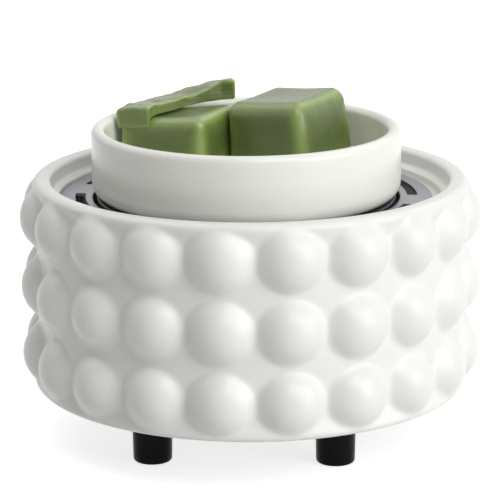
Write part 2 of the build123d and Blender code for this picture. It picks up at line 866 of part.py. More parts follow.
# Wax dish: a turned cup with a rounded lip, loose on the hot plate
dish_top = dish_bottom + dish_height
with BuildSketch(heater_side) as dish_section:
    with BuildLine():
        Polyline(
            (0, dish_bottom),
            (dish_radius, dish_bottom),
            (dish_radius, dish_top),
            (dish_radius - dish_wall, dish_top),
            (dish_radius - dish_wall, wax_floor),
            (0, wax_floor),
            close=True,
        )
    make_face()
    fillet(nearest(dish_section, dish_radius, dish_bottom), dish_foot_round)
    fillet(nearest(dish_section, dish_radius - dish_wall, wax_floor), dish_corner_round)
    fillet(nearest(dish_section, dish_radius, dish_top), dish_lip_round)
    fillet(nearest(dish_section, dish_radius - dish_wall, dish_top), dish_lip_round)
with BuildPart() as wax_dish:
    add(dish_section.sketch)
    revolve(axis=heater_axis)
keep(wax_dish.part, "wax_dish")


# Right wax block: a tapered block, turned and tipped, with its low edge on the dish's floor
with BuildPart() as right_block:
    with BuildSketch():
        RectangleRounded(right_block_width, right_block_depth, wax_corner_round)
    extrude(amount=right_block_height, taper=right_block_draft)
    fillet(right_block.faces().sort_by(Axis.Z)[-1].edges(), wax_edge_round)
    fillet(right_block.faces().sort_by(Axis.Z)[0].edges(), wax_edge_round)
right_tip = Location((0, 0, 0), (0, right_block_tip, right_block_turn))
wax_cube_right = right_block.part.moved(right_tip)
right_lift = wax_floor + wax_gap - wax_cube_right.bounding_box().min.Z
wax_cube_right = wax_cube_right.moved(Location((right_block_x, right_block_y, right_lift)))
keep(wax_cube_right, "wax_cube_right")

# Left wax block: it stands flat, and its top slopes up to the right
left_base = wax_floor + wax_gap
left_top = Plane(
    origin=(left_block_x, left_block_y, left_base + left_top_height),
    x_dir=(math.cos(math.radians(left_top_slope)), 0, math.sin(math.radians(left_top_slope))),
    z_dir=(-math.sin(math.radians(left_top_slope)), 0, math.cos(math.radians(left_top_slope))),
)
block_reach = left_block_width + left_block_depth
with BuildPart() as wax_cube_left:
    with BuildSketch(Plane(Location((left_block_x, left_block_y, left_base), (0, 0, left_block_turn)))):
        RectangleRounded(left_block_width, left_block_depth, wax_corner_round)
    extrude(amount=2 * left_top_height, taper=left_block_draft)
    with BuildSketch(left_top):
        Rectangle(block_reach, block_reach)
    extrude(amount=2 * left_top_height, mode=Mode.SUBTRACT)
    fillet(wax_cube_left.faces().sort_by(Axis.Z)[-1].edges(), wax_edge_round)
    fillet(wax_cube_left.faces().sort_by(Axis.Z)[0].edges(), wax_edge_round)
keep(wax_cube_left.part, "wax_cube_left")

# Broken wedge of wax lying on the left block's sloping top
slab_seat = left_top.offset(wax_gap)
slope = math.radians(slab_top_slope)
slab_centre = slab_seat.origin + slab_seat.x_dir * (slab_x - left_block_x)
slab_outline = [(slab_x + slab_length * x, slab_y + slab_depth * y) for x, y in slab_outline_shares]
slab_top = Plane(
    origin=slab_centre + slab_seat.z_dir * slab_thickness,
    x_dir=(math.cos(slope), 0, math.sin(slope)),
    z_dir=(-math.sin(slope), 0, math.cos(slope)),
)
with BuildPart() as wax_slab_top:
    with BuildSketch(Plane.XY.offset(left_base)):
        with BuildLine():
            Polyline(*slab_outline, close=True)
        make_face()
    extrude(amount=2 * left_top_height)
    with BuildSketch(slab_seat):
        Rectangle(2 * block_reach, 2 * block_reach)
    extrude(amount=-2 * left_top_height, mode=Mode.SUBTRACT)
    with BuildSketch(slab_top):
        Rectangle(2 * block_reach, 2 * block_reach)
    extrude(amount=2 * left_top_height, mode=Mode.SUBTRACT)
    fillet(wax_slab_top.edges(), slab_edge_round)
keep(wax_slab_top.part, "wax_slab_top")
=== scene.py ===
# %% [markdown]
# # An electric wax melt warmer
# The object is a round ceramic warmer. A glazed shell with three rows of domes stands on four short
# feet, a satin plate with curved vents closes it, and a loose dish of wax stands on a hot plate in
# the middle. A text cell before each step says what the piece is, how it could be made and why this
# way was chosen. All lengths are in metres, so a size is written as a number of millimetres times mm.

# %% Load the frame
import math
import bmesh
import bpy
import numpy as np
from mathutils import Matrix, Vector


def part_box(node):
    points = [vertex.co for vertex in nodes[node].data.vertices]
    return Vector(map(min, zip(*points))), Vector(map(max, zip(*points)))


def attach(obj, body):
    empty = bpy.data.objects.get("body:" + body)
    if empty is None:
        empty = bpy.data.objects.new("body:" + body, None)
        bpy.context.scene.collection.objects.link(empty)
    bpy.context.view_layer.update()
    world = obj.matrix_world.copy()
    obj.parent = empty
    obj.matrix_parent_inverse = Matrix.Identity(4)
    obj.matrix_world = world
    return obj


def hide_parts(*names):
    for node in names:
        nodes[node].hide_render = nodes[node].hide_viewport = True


mm = 0.001
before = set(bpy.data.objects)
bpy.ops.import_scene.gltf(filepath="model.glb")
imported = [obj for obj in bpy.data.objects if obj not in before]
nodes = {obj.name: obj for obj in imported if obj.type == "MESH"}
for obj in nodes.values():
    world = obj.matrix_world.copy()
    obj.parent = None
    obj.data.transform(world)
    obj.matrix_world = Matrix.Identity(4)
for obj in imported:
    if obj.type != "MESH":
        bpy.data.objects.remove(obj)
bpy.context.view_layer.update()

# %% [markdown]
# ## Sizes read from the frame
# The frame knows where each piece stands, so the new surfaces take their places from it. Only the
# sizes that a box can't show, such as an inner radius, are written down here.

# %% Places
shell_low, shell_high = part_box("ceramic_shell")
dish_low, dish_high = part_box("wax_dish")
shell_bottom, shell_top = shell_low.z, shell_high.z
dish_x = (dish_low.x + dish_high.x) / 2
print("shell from", round(shell_bottom / mm, 1), "to", round(shell_top / mm, 1), "mm")
print("dish at x", round(dish_x / mm, 2), "mm")

# %% [markdown]
# ## Turning grids into meshes
# Every new piece here is a surface over two parameters. numpy works out all its points at once, and
# the faces are the cells of the grid. Writing vertices one by one would be slower and would hide the
# formula, and a stack of modifiers would hide it too.

# %% Grid faces
def grid_faces(rows, columns, closed):
    """The four corners of every cell of a grid whose rows follow each other in one long list.

    Cell (i, j) joins points (i, j), (i, j+1), (i+1, j+1) and (i+1, j). If closed, the last column
    joins the first again.
    """
    across = columns if closed else columns - 1
    i, j = np.meshgrid(np.arange(rows - 1), np.arange(across), indexing="ij")
    k = (j + 1) % columns
    this_row, next_row = i * columns, (i + 1) * columns
    return np.stack([this_row + j, this_row + k, next_row + k, next_row + j], -1).reshape(-1, 4)


def outward(points, faces):
    """The faces, turned so that the closed surface holds a positive volume.

    Six times the volume is the sum, over both triangles of each four sided face, of the triple
    product of the triangle's corners. Only its sign is needed.
    """
    a, b, c, d = (points[faces[:, n]] for n in range(4))
    volume = np.einsum("ij,ij->", a, np.cross(b, c)) + np.einsum("ij,ij->", a, np.cross(c, d))
    return faces if volume > 0 else faces[:, ::-1]


# %% Pieces
merge_gap = 0.002 * mm
shortest_edge = 0.001 * mm


def make_piece(name, points, faces, body, slot, sharp=40, edge=None):
    """A mesh object in the frame's place, riding on a body. Edges past the sharp angle stay crisp.

    Where edge is given, each point keeps how near it is to an edge, for its finish to read.
    """
    mesh = bpy.data.meshes.new(name)
    faces = outward(points, faces)
    mesh.from_pydata(points, [], faces.tolist())
    if edge is not None:
        nearness = mesh.attributes.new("edge", "FLOAT", "POINT")
        nearness.data.foreach_set("value", edge.astype(np.float32))
    seams = bmesh.new()
    seams.from_mesh(mesh)
    bmesh.ops.remove_doubles(seams, verts=seams.verts, dist=merge_gap)
    bmesh.ops.dissolve_degenerate(seams, edges=seams.edges, dist=shortest_edge)
    seams.to_mesh(mesh)
    seams.free()
    mesh.shade_smooth()
    mesh.set_sharp_from_angle(angle=math.radians(sharp))
    piece = bpy.data.objects.new(name, mesh)
    bpy.context.scene.collection.objects.link(piece)
    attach(piece, body)
    print(name, len(mesh.polygons), "faces")
    return piece


def stand_in(piece, material, node):
    """Gives a piece its finish, shows it in place of a CAD node and prints how their boxes differ."""
    piece.data.materials.append(material)
    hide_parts(node)
    points = np.empty((len(piece.data.vertices), 3), np.float32)
    piece.data.vertices.foreach_get("co", points.ravel())
    low, high = (np.array(corner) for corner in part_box(node))
    below, above = (points.min(0) - low) / mm, (points.max(0) - high) / mm
    print(node, "low", below.round(2), "high", above.round(2))


# %% Profile helper
def rounded(corners, radii, step=0.45 * mm, fewest=4):
    """A profile of (radius, height) points with each corner replaced by an arc.

    At a corner with unit directions u (back) and v (ahead) and half angle h between them, an arc of
    radius r starts and ends r / tan(h) from the corner, and its centre lies r / sin(h) along the
    bisector. The arc's points turn evenly about that centre, about one step apart.
    """
    corners = np.array(corners, float)
    pieces = [corners[:1]]
    for before, corner, after, r in zip(corners, corners[1:], corners[2:], radii):
        u = (before - corner) / np.linalg.norm(before - corner)
        v = (after - corner) / np.linalg.norm(after - corner)
        half = math.acos(np.clip(u @ v, -1, 1)) / 2
        centre = corner + (u + v) / np.linalg.norm(u + v) * r / math.sin(half)
        start = corner + u * r / math.tan(half) - centre
        end = corner + v * r / math.tan(half) - centre
        whole = math.acos(np.clip(start @ end / r ** 2, -1, 1))
        t = np.linspace(0, 1, max(fewest, math.ceil(whole * r / step)))[:, None]
        arc = start * np.sin((1 - t) * whole) + end * np.sin(t * whole)
        pieces.append(centre + arc / math.sin(whole))
    return np.concatenate(pieces + [corners[-1:]])


def subdivided(profile, longest):
    """The profile with points added evenly along each run that is longer than the longest step."""
    runs = [
        np.linspace(a, b, max(1, math.ceil(np.linalg.norm(b - a) / longest)), endpoint=False)
        for a, b in zip(profile, profile[1:])
    ]
    return np.concatenate(runs + [profile[-1:]])


def turned(profile, centre, sides):
    """The points and faces of a profile turned about an upright axis.

    Point (i, j) is at angle 2 pi j / sides on the circle of profile radius i, at profile height i.
    """
    angle = np.linspace(0, 2 * math.pi, sides, endpoint=False)
    radius, height = profile[:, :1], profile[:, 1:]
    x = centre[0] + radius * np.cos(angle)
    y = centre[1] + radius * np.sin(angle)
    points = np.stack([x, y, np.broadcast_to(height, x.shape)], -1).reshape(-1, 3)
    return points, grid_faces(len(profile), sides, closed=True)


# %% [markdown]
# ## Writing shaders as sums
# A procedural finish is a small sum of patterns. Node graphs are hard to read as code, so a socket
# is wrapped in a class that knows the usual operators: 0.2 + 0.1 * grain then adds the Math nodes.
# Every other node comes from one method that takes its type, its settings and its inputs.

# %% Shader sockets with operators
class Signal:
    """An output socket of a material's node tree, which can be used in sums."""

    def __init__(self, tree, socket):
        self.tree = tree
        self.socket = socket

    def maths(self, operation, *others, swap=False):
        """A Math node over this value and others, in the other order if swap is true."""
        node = self.tree.nodes.new("ShaderNodeMath")
        node.operation = operation
        values = [self, *others]
        if swap:
            values.reverse()
        for slot, value in zip(node.inputs, values):
            feed(self.tree, slot, value)
        return Signal(self.tree, node.outputs[0])

    def __add__(self, other):
        return self.maths("ADD", other)

    def __radd__(self, other):
        return self.maths("ADD", other, swap=True)

    def __sub__(self, other):
        return self.maths("SUBTRACT", other)

    def __rsub__(self, other):
        return self.maths("SUBTRACT", other, swap=True)

    def __mul__(self, other):
        return self.maths("MULTIPLY", other)

    def __rmul__(self, other):
        return self.maths("MULTIPLY", other, swap=True)

    def __gt__(self, other):
        return self.maths("GREATER_THAN", other)

    def __lt__(self, other):
        return self.maths("LESS_THAN", other)

    def capped(self):
        """Turns on the clamp of the Math node behind this value."""
        self.socket.node.use_clamp = True
        return self


def feed(tree, slot, value):
    """Gives an input socket a link, if the value is a Signal, or else a plain value or colour."""
    if isinstance(value, Signal):
        tree.links.new(value.socket, slot)
    elif slot.type == "RGBA":
        slot.default_value = (*value, 1)
    else:
        slot.default_value = value


# %% Node graphs
class Graph:
    """A node tree, of a material or of the world, and the one way in which it gets its nodes."""

    def __init__(self, owner):
        owner.use_nodes = True
        self.tree = owner.node_tree

    def node(self, kind, output=0, settings=None, inputs=None):
        """A node of any type. Its settings are made first, then its inputs by name or number."""
        made = self.tree.nodes.new("ShaderNode" + kind)
        for key, value in (settings or {}).items():
            setattr(made, key, value)
        for key, value in (inputs or {}).items():
            feed(self.tree, made.inputs[key], value)
        return Signal(self.tree, made.outputs[output])

    def blend(self, mask, low, high):
        """The colour low where the mask is 0 and high where it is 1. A Mix's colours are inputs 6 and 7."""
        return self.node("Mix", 2, {"data_type": "RGBA"}, {0: mask, 6: low, 7: high})

    def seen_directly(self):
        """1 for what the camera, a mirror or a clear surface shows, and 0 for light on the object."""
        rays = ("Is Camera Ray", "Is Glossy Ray", "Is Transmission Ray")
        camera, mirror, clear = (self.node("LightPath", ray) for ray in rays)
        return (camera + mirror + clear).capped()


# %% Finishes
class Finish(Graph):
    """One material: a Principled shader, and the patterns that feed it."""

    def __init__(self, name):
        self.material = bpy.data.materials.new(name)
        super().__init__(self.material)
        self.shader = self.tree.nodes["Principled BSDF"]
        self.place = self.node("TexCoord", "Object")

    def noise(self, size, detail=2.0, roughness=0.5):
        """A soft random pattern from 0 to 1 whose features are about as large as size."""
        inputs = {"Vector": self.place, "Scale": 1 / size, "Detail": detail, "Roughness": roughness}
        return self.node("TexNoise", "Fac", inputs=inputs)

    def cells(self, size):
        """The distance to the nearest of many scattered points, about size apart."""
        return self.node("TexVoronoi", "Distance", inputs={"Vector": self.place, "Scale": 1 / size})

    def along(self, axis):
        """The X, Y or Z of the point, in metres."""
        return self.node("SeparateXYZ", axis, inputs={"Vector": self.place})

    def bump(self, height, depth, strength=1.0):
        """A Bump node whose height runs over depth metres."""
        return self.node("Bump", inputs={"Height": height, "Distance": depth, "Strength": strength})

    def shade(self, **values):
        """Sets or links the shader's inputs by name and returns the material."""
        for key, value in values.items():
            feed(self.tree, self.shader.inputs[key.replace("_", " ")], value)
        return self.material


# %% Finishes on CAD nodes
def coat_node(material, *names):
    """Puts a finish on CAD nodes."""
    for name in names:
        piece = nodes[name]
        if not piece.material_slots:
            piece.data.materials.append(material)
        for slot in piece.material_slots:
            slot.material = material
    print(material.name, "on", ", ".join(names))


# %% [markdown]
# ## The glaze
# The shell and the dish are slip cast and dipped in a glossy glaze. On the real pieces the glaze is
# a little thinner and warmer on edges and crowns, pools in the valleys, and stops short of the ring
# they stand on, where bare clay shows. A flat white would look like plastic, so slow noise shifts the
# colour and the gloss, and a shallow bump gives the soft waves of a fired surface.

# %% Glaze finish
bare_clay = (0.62, 0.57, 0.49)
bare_height = 0.25 * mm


def glaze(name, body_colour, pooled_colour, rough, clay_top):
    """A glossy fired glaze, with bare clay under the height clay_top."""
    finish = Finish(name)
    drift = finish.noise(22 * mm, detail=3.0)
    fine = finish.noise(2.2 * mm)
    grit = finish.noise(0.4 * mm)
    bare = finish.along("Z") < clay_top
    colour = finish.blend((drift * 1.6 - 0.3).capped(), body_colour, pooled_colour)
    waves = drift * 0.8 + fine * 0.08 + bare * grit * 0.2
    return finish.shade(
        Base_Color=finish.blend(bare, colour, bare_clay),
        Roughness=rough + 0.12 * drift + 0.4 * bare,
        IOR=1.5,
        Normal=finish.bump(waves, depth=0.5 * mm, strength=0.5),
    )


white_glaze = glaze(
    "white_glaze", (0.865, 0.87, 0.835), (0.845, 0.85, 0.805),
    rough=0.27, clay_top=shell_bottom + bare_height,
)
cream_glaze = glaze(
    "cream_glaze", (0.90, 0.91, 0.85), (0.88, 0.885, 0.81),
    rough=0.16, clay_top=dish_low.z + bare_height,
)

# %% [markdown]
# ## The ceramic shell
# The shell is a drum with twenty columns and three rows of domes, a thick rounded lip, and a step
# inside that holds the metal plate. Sixty sphere objects joined to a drum would leave hard creases.
# Here the outside is one height field: at each angle and height the surface is the further out of
# the drum and the nearest sphere, joined by a soft maximum that leaves the small fillet of a fired
# glaze. The cord's notch at the back is where the lower edge of the field rises.

# %% Shell sizes
wall_radius = 70.7 * mm
wall_waist = 1.3 * mm
waist_run = 7 * mm
foot_flare = 0.7 * mm
flare_run = 11 * mm
lip_outer_round = 2.6 * mm
lip_inner_round = 1.5 * mm
foot_round = 2.0 * mm
well_radius = 64.5 * mm
well_floor = 81.9 * mm
well_round = 1.4 * mm
recess_radius = 61.9 * mm
recess_round = 0.7 * mm
ledge_radius = 56.8 * mm
ledge_top = 79.1 * mm
ledge_bottom = 74.5 * mm
ledge_round = 0.5 * mm
inner_radius = 62.5 * mm
under_ledge_round = 2 * mm
rabbet_radius = 66.4 * mm
rabbet_top = 24.0 * mm
step_round = 0.3 * mm

# %% Dome sizes
dome_rows = 3
dome_columns = 20
dome_turn = math.radians(10.3)
dome_width = 20.0 * mm
dome_reach = 5.54 * mm
dome_blend = 1.6 * mm
dome_miss = 9 * mm
fade_run = 2.4 * mm
fade_depth = 2.2 * mm
dome_row_height = (shell_top - shell_bottom) / dome_rows
dome_pitch = 2 * math.pi / dome_columns
sphere_radius = (dome_width ** 2 / 4 + dome_reach ** 2) / (2 * dome_reach)
sphere_centre = wall_radius - wall_waist + dome_reach - sphere_radius
print("domes of radius", round(sphere_radius / mm, 2), "mm,", round(sphere_centre / mm, 2), "mm out")

# %% Notch and grid sizes
notch_half = 6.5 * mm
notch_centre = 31.0 * mm
notch_edge = math.asin(notch_half / wall_radius)
parallel_turn = math.radians(7.4)
parallel_fade = math.radians(1.9)
columns_each = 23
just_inside, just_outside, well_outside = 0.999, 1.004, 1.05
inside_step = 5 * mm
outside_step = 0.7 * mm
under_foot_run = 1.5 * mm
hair = 0.01 * mm
print("notch of", round(2 * math.degrees(notch_edge), 2), "degrees at the back")


# %% Domes on the drum
def soft_max(a, b, width):
    """The larger of a and b, rounded where they are closer than width.

    With h = max(width - |a - b|, 0) / width, the result is max(a, b) + h * h * width / 4.
    """
    h = np.maximum(width - np.abs(a - b), 0) / width
    return np.maximum(a, b) + h * h * width / 4


def dome_field(angle, height):
    """How far out the domes reach at an angle and a height.

    A dome is a sphere of radius s about a point at radius c. Along a ray that passes the nearest
    dome's centre line at angle d, and at height h from the row, the ray leaves the sphere at
    c cos d + sqrt(s^2 - h^2 - c^2 sin^2 d). Where it misses the sphere, the field lies dome_miss
    further in, so that the drum wins there.
    """
    d = (angle - dome_turn + dome_pitch / 2) % dome_pitch - dome_pitch / 2
    k = np.clip(np.floor((height - shell_bottom) / dome_row_height), 0, dome_rows - 1)
    h = height - shell_bottom - (k + 0.5) * dome_row_height
    inside = sphere_radius ** 2 - h ** 2 - (sphere_centre * np.sin(d)) ** 2
    miss = np.where(inside < 0, dome_miss, 0)
    return sphere_centre * np.cos(d) + np.sqrt(np.maximum(inside, 0)) - miss


# %% Notch and columns
def notch_height(angle):
    """The height of the shell's lower edge: at the back, a half round over upright sides."""
    x = wall_radius * np.sin(angle)
    arch = notch_centre + np.sqrt(np.maximum(notch_half ** 2 - x ** 2, 0))
    return np.where((np.abs(x) < notch_half) & (np.cos(angle) > 0), arch, shell_bottom)


def shell_columns():
    """The angles of the grid's columns from the back: even all round, and finer across the notch.

    Across it, the columns stand at the cosines of even angles, so they crowd near its sides, and
    one more on each side stands just outside.
    """
    around = np.linspace(-math.pi, math.pi, dome_columns * columns_each, endpoint=False)
    crowded = np.cos(np.linspace(0, math.pi, columns_each))
    across = np.arcsin(crowded * notch_half / wall_radius) * just_inside
    near = np.array([notch_edge * just_outside, -notch_edge * just_outside])
    apart = np.abs(around) > notch_edge * well_outside
    return np.sort(np.concatenate([around[apart], across, near]))


# %% Shell grid
def shell_profile():
    """The shell's outline: up inside the foot, over the ledge and the lip, down and back in."""
    outline = rounded(
        [(rabbet_radius, shell_bottom), (rabbet_radius, rabbet_top), (inner_radius, rabbet_top),
         (inner_radius, ledge_bottom), (ledge_radius, ledge_bottom), (ledge_radius, ledge_top),
         (recess_radius, ledge_top), (recess_radius, well_floor), (well_radius, well_floor),
         (well_radius, shell_top), (wall_radius, shell_top), (wall_radius, shell_bottom),
         (rabbet_radius, shell_bottom)],
        [step_round, step_round, under_ledge_round, ledge_round, ledge_round, step_round,
         recess_round, well_round, lip_inner_round, lip_outer_round, foot_round],
    )
    lip = np.flatnonzero(outline[:, 0] < well_radius + hair)[-1]
    inside, outside = outline[:lip], outline[lip:]
    return np.concatenate([subdivided(inside, inside_step), subdivided(outside, outside_step)])


def shell_points():
    """The shell's grid: its profile at every column's angle, with the outside bulged by the domes.

    Points below the notch's edge are first lifted to it. The waist draws the wall in by wall_waist
    times t t (3 - 2 t), where t is the distance from the lip or the foot over waist_run, and the
    flare widens the foot by foot_flare times the square of 1 less the height over flare_run. The
    soft maximum with the dome field comes next. The field fades near the lip and the foot, and
    under the foot the bulge grows over under_foot_run. Near the notch an angle a becomes the arc
    sine of sin a times the wall's radius over the point's own, so its sides stand parallel.
    """
    profile = shell_profile()
    angle = shell_columns()
    radius = np.broadcast_to(profile[:, :1], (len(profile), len(angle))).copy()
    height = np.broadcast_to(profile[:, 1:], radius.shape).copy()
    outside = radius > rabbet_radius + hair
    height = np.maximum(height, notch_height(angle))
    from_edge = np.minimum(shell_top - height, height - shell_bottom)
    share = np.clip(from_edge / waist_run, 0, 1)
    flare = foot_flare * np.clip(1 - (height - shell_bottom) / flare_run, 0, 1) ** 2
    waisted = radius + flare - wall_waist * share ** 2 * (3 - 2 * share)
    fade = fade_depth * np.clip(1 - from_edge / fade_run, 0, 1) ** 2
    bulged = soft_max(waisted, dome_field(angle + math.pi / 2, height) - fade, dome_blend)
    weight = np.clip((radius - rabbet_radius) / under_foot_run, 0, 1)
    radius = np.where(outside, radius + weight * (bulged - radius), radius)
    parallel = np.clip((parallel_turn - np.abs(angle)) / parallel_fade, 0, 1)
    straight = np.arcsin(np.clip(np.sin(angle) * wall_radius / radius, -1, 1))
    facing = np.where(np.abs(angle) < math.pi / 2, angle + parallel * (straight - angle), angle)
    points = np.stack([-radius * np.sin(facing), radius * np.cos(facing), height], -1)
    return points.reshape(-1, 3), grid_faces(len(profile), len(angle), closed=True)


# %% Shell piece
ceramic_shell = make_piece("shell_glazed", *shell_points(), "warmer", "white_glaze", sharp=80)
stand_in(ceramic_shell, white_glaze, "ceramic_shell")

# %% [markdown]
# ## The wax dish
# The dish is a low cup with a thick wall, a fully rounded lip and a soft corner at its floor. It is
# a turned form, so a profile carried round an upright axis makes it, with enough sides that its rim
# stays smooth close up.

# %% Dish
dish_radius = (dish_high.x - dish_low.x) / 2
dish_wall = 4.5 * mm
dish_base = 4.8 * mm
dish_corner_round = 5 * mm
dish_lip_round = 2.1 * mm
dish_inner = dish_radius - dish_wall
dish_floor = dish_low.z + dish_base
dish_sides = 256
turned_step = 1.5 * mm
dish_profile = subdivided(
    rounded(
        [(0, dish_low.z), (dish_radius, dish_low.z), (dish_radius, dish_high.z),
         (dish_inner, dish_high.z), (dish_inner, dish_floor), (0, dish_floor)],
        [dish_corner_round, dish_lip_round, dish_lip_round, dish_corner_round],
    ),
    turned_step,
)
points, faces = turned(dish_profile, (dish_x, 0), dish_sides)
wax_dish = make_piece("dish_glazed", points, faces, "dish", "cream_glaze")
stand_in(wax_dish, cream_glaze, "wax_dish")

# %% [markdown]
# ## Melting wax
# The wax is poured, so its corners are round, its sides draft inwards and its faces are never quite
# flat. Light goes a few millimetres into it: the cores look dark, and the edges, where light comes in
# from two sides, glow paler. Subsurface scattering gives the depth, and each point's nearness to an
# edge lightens the colour there, a painted glow of the light that comes through the edges. A greasy
# film shows white at a low angle, broken by bloom and pits.

# %% Wax finish
def wax(name, clear_colour, cloudy_colour, painted_glow_colour, rough):
    """Translucent wax with slow clouds, a painted glow on its edges, fine bloom and pits."""
    finish = Finish(name)
    clouds = finish.noise(9 * mm, detail=4.0, roughness=0.55)
    bloom = finish.noise(1.1 * mm, detail=3.0, roughness=0.6)
    pits = (finish.cells(3.1 * mm) < 0.14) * (finish.noise(6 * mm) > 0.56)
    edge = finish.node("Attribute", "Fac", {"attribute_name": "edge"})
    core = finish.blend((clouds * 1.8 - 0.4).capped(), clear_colour, cloudy_colour)
    return finish.shade(
        # The edge colour is a painted glow: light that comes through the wax's edges, painted into the
        # colour.
        Base_Color=finish.blend((edge * (0.6 + 0.5 * clouds)).capped(), core, painted_glow_colour),
        Roughness=(rough + 0.22 * bloom + 0.2 * pits).capped(),
        IOR=1.5,
        Subsurface_Weight=1.0,
        Subsurface_Radius=(0.8, 1.0, 0.35),
        Subsurface_Scale=5.0 * mm,
        Coat_Weight=0.35,
        Coat_Roughness=0.12,
        Normal=finish.bump(clouds * 0.6 + bloom * 0.12 - pits * 0.3, depth=0.7 * mm, strength=0.45),
    )


# The third colour of each wax is its painted glow on the edges.
wax_smooth = wax("wax_smooth", (0.10, 0.14, 0.028), (0.135, 0.185, 0.042), (0.37, 0.48, 0.14), 0.29)
wax_broken = wax("wax_broken", (0.145, 0.195, 0.042), (0.22, 0.28, 0.085), (0.38, 0.48, 0.17), 0.32)

# %% [markdown]
# ## Round edged boxes with dents
# All the wax starts as one form, a box with round edges and corners. A Bevel modifier would round a
# cube too, but would leave its faces without points, and the soft dents of cooled wax need points
# everywhere. So the box is six square grids drawn on to the rounded form, and a few sines along
# random directions then move its points.

# %% Dents
def lumps(points, size, seed, waves=9, calm=1.6):
    """A smooth random field over points, which stays mostly between -1 and 1.

    It is the mean of sines of the points along random directions, each with its own start and its
    own wave length, from 0.7 to 1.6 times size, times the square root of the number of waves over
    calm. The generator is seeded.
    """
    chance = np.random.default_rng(seed)
    direction = chance.normal(size=(waves, 3))
    direction /= np.linalg.norm(direction, axis=1)[:, None]
    length = size * chance.uniform(0.7, 1.6, waves)
    start = chance.uniform(0, 2 * math.pi, waves)
    return np.sin(points @ direction.T * 2 * math.pi / length + start).mean(-1) * math.sqrt(waves) / calm


def dents(points, waves):
    """The sum, over a list of (depth, size, seed), of the depth times the lumps of that size."""
    return sum(depth * lumps(points, size, seed) for depth, size, seed in waves)


# %% Round edged box
tiny = 1e-9


def cube_shell(half, corner, steps):
    """The points and faces of a box with round edges and corners, from six square grids.

    A point p on the plain box is moved to q + r n, where q is p held inside the box shrunk by the
    corner radius r, and n is the unit direction from q to p. The grid lines gather near the edges.
    """
    line = np.sin(np.linspace(-1, 1, steps) * math.pi / 2)
    u, v = (side.ravel() for side in np.meshgrid(line, line, indexing="ij"))
    one = np.ones_like(u)
    sides = [(u, v, one), (v, u, -one), (one, u, v), (-one, v, u), (v, one, u), (u, -one, v)]
    points = np.concatenate([np.stack(side, -1) for side in sides]) * half
    core = np.clip(points, corner - half, half - corner)
    away = points - core
    length = np.maximum(np.linalg.norm(away, axis=1)[:, None], tiny)
    cell = grid_faces(steps, steps, closed=False)
    faces = np.concatenate([cell + n * steps * steps for n in range(len(sides))])
    return core + away / length * corner, faces


def edge_nearness(points, half, reach):
    """How near each point of a box's surface is to an edge: 1 on it, 0 from the distance reach on.

    Along each axis a point is max(0, 1 - gap / reach) near the side there, and the second largest
    of the three is its nearness to the edge. Its square fades softly.
    """
    near = np.clip((np.abs(points) - (half - reach)) / reach, 0, 1)
    return np.sort(near, axis=1)[:, 1] ** 2


# %% Poured block
block_steps = 56
# How far in from an edge the painted glow on the blocks reaches.
painted_glow_reach = 8 * mm
broad_dent, broad_size = 0.16 * mm, 17 * mm
small_dent, small_size = 0.05 * mm, 4 * mm
skin_inset = 0.2 * mm
top_sag = 0.35 * mm
top_share = 1.9


def turn_matrix(turn, nod=0, tip=0):
    """The rotation, in degrees, that first turns about Z, then nods about X and then tips about Y.

    A point is multiplied by the turn's matrix first, so that one stands last in the product.
    """
    steps = [(tip, "Y"), (nod, "X"), (turn, "Z")]
    matrices = [np.array(Matrix.Rotation(math.radians(angle), 3, axis)) for angle, axis in steps]
    return np.linalg.multi_dot(matrices)


def poured(half, corner, draft, seed):
    """A poured block: a round cornered box, drawn in towards its top, with soft dents.

    At a rise z over its foot, each side stands z tan(draft) further in. A point then moves by the
    dents there less skin_inset, away from the block's middle. The top, which is all that rises over
    top_share times half the height, sags by top_sag times 1 - (x / a)^2 - (y / b)^2, where a and b
    are half the block's length and depth.
    """
    half = np.array(half)
    points, faces = cube_shell(half, corner, block_steps)
    edge = edge_nearness(points, half, painted_glow_reach)
    rise = points[:, 2] + half[2]
    points[:, :2] *= 1 - rise[:, None] * math.tan(math.radians(draft)) / half[:2]
    away = points / np.linalg.norm(points, axis=1)[:, None]
    skin = dents(points, [(broad_dent, broad_size, seed), (small_dent, small_size, seed + 1)])
    sag = top_sag * np.clip(1 - (points[:, 0] / half[0]) ** 2 - (points[:, 1] / half[1]) ** 2, 0, 1)
    points += away * (skin - skin_inset)[:, None]
    points[:, 2] -= np.where(rise > top_share * half[2], sag, 0)
    return points, faces, edge


# %% [markdown]
# ## The right block
# It leans a little on its lower left edge, so it is made upright, turned and tipped, and then set
# down until its lowest point is just over the dish's floor.

# %% Right block
wax_gap = 0.12 * mm
right_half = (15.7 * mm, 16.4 * mm, 11.5 * mm)
right_round = 4.6 * mm
right_draft = 2.7
right_turn, right_nod, right_tip = -33.9, -0.7, -6.2
right_x, right_y = 12.9 * mm, 17.2 * mm
points, faces, edge = poured(right_half, right_round, right_draft, seed=4)
points = points @ turn_matrix(right_turn, right_nod, right_tip).T
points += np.array([right_x, right_y, dish_floor + wax_gap - points[:, 2].min()])
right_block = make_piece("wax_block_right", points, faces, "right_wax", "green_wax", sharp=60, edge=edge)
stand_in(right_block, wax_smooth, "wax_cube_right")

# %% [markdown]
# ## The left block
# It stands flat, its top slopes up to the right and its back is cut off at a slant, so an upright
# block is made deeper to the right, and taller or lower along that slope.

